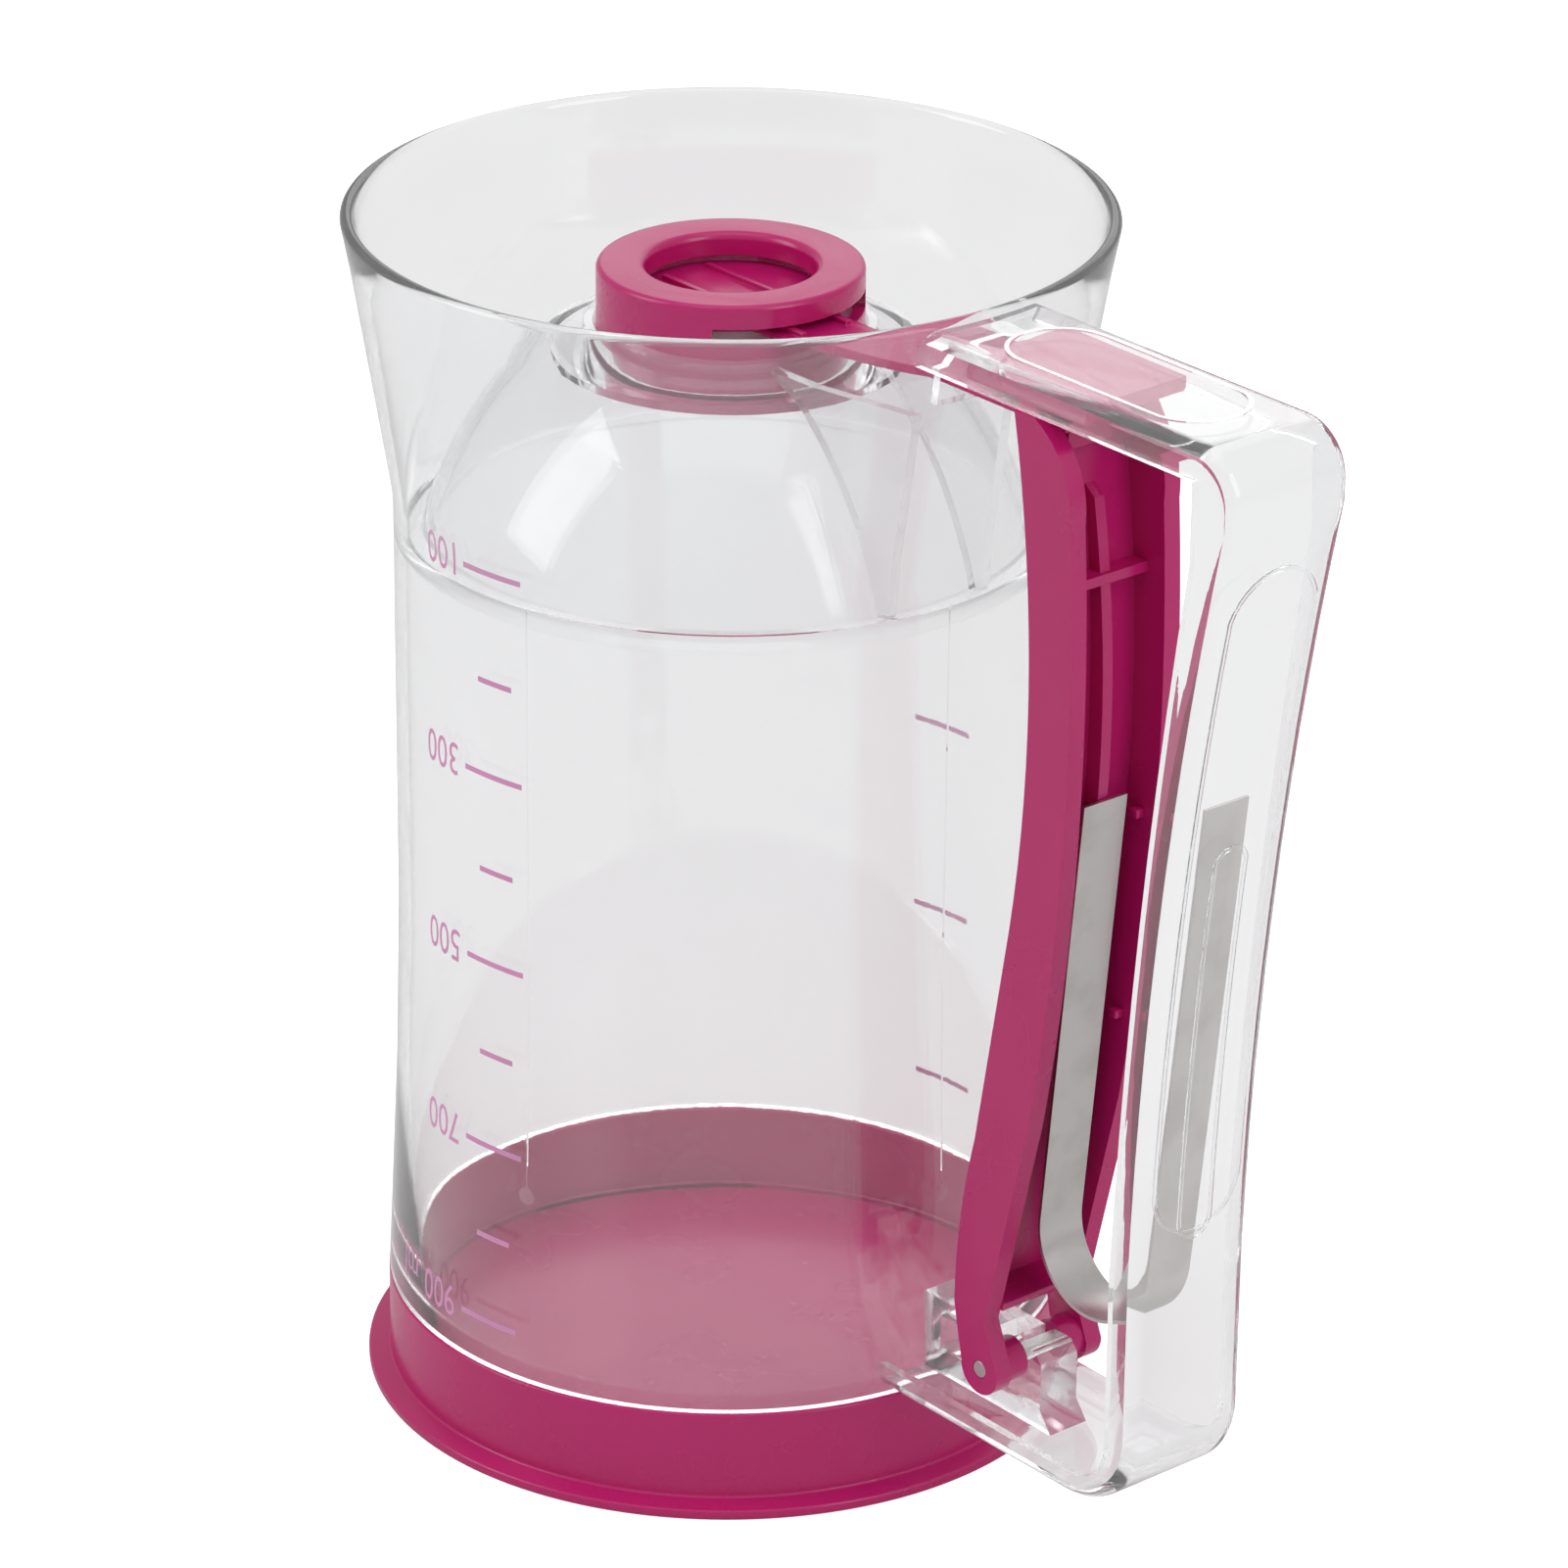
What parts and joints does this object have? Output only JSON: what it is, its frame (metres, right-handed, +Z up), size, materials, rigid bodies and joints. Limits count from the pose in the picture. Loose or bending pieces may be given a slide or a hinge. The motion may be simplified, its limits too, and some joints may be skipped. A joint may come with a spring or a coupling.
{
  "type": "pancake batter dispenser",
  "caption": "Hand-held batter dispenser: clear flared jug standing on its press-on lid, with a handle, a sprung trigger lever and a sliding shutter under a ring cap.",
  "frame": {"origin": "axis of the jug at the flat face of the lid that it stands on", "axes": "+Z up along the jug's axis, +X towards the handle, +Y across the handle"},
  "size_m": [0.1722, 0.1116, 0.184],
  "materials": {
    "clear_plastic": "clear and glossy",
    "plum_plastic": "satin",
    "seal_silicone": "matt",
    "spring_steel": "satin"
  },
  "bodies": {
    "jug": {"jug_body": "clear_plastic", "handle": "clear_plastic", "valve_cap": "plum_plastic", "nozzle_seal": "seal_silicone"},
    "lid_body": {"lid": "plum_plastic"},
    "lever": {"trigger_lever": "plum_plastic", "hinge_pin": "spring_steel", "leaf_spring": "spring_steel"},
    "shutter": {"shutter_plate": "plum_plastic"}
  },
  "joints": [
    {"name": "lid_pull", "type": "slide", "parent": "jug", "child": "lid_body", "axis": [0, 0, -1], "range_m": [0, 0.03]},
    {"name": "lever_hinge", "type": "hinge", "parent": "jug", "child": "lever", "pos_m": [0.07, 0, 0.0287], "axis": [0, 1, 0], "range_deg": [0, 7], "stiffness_Nm_per_rad": 4, "springref_deg": -5.16, "deforming": ["leaf_spring"]},
    {"name": "shutter_slide", "type": "slide", "parent": "jug", "child": "shutter", "axis": [1, 0, 0], "range_m": [0, 0.018]}
  ],
  "couplings": [
    {"joint": "shutter_slide", "follows": "lever_hinge", "m_per_rad": 0.1463}
  ]
}
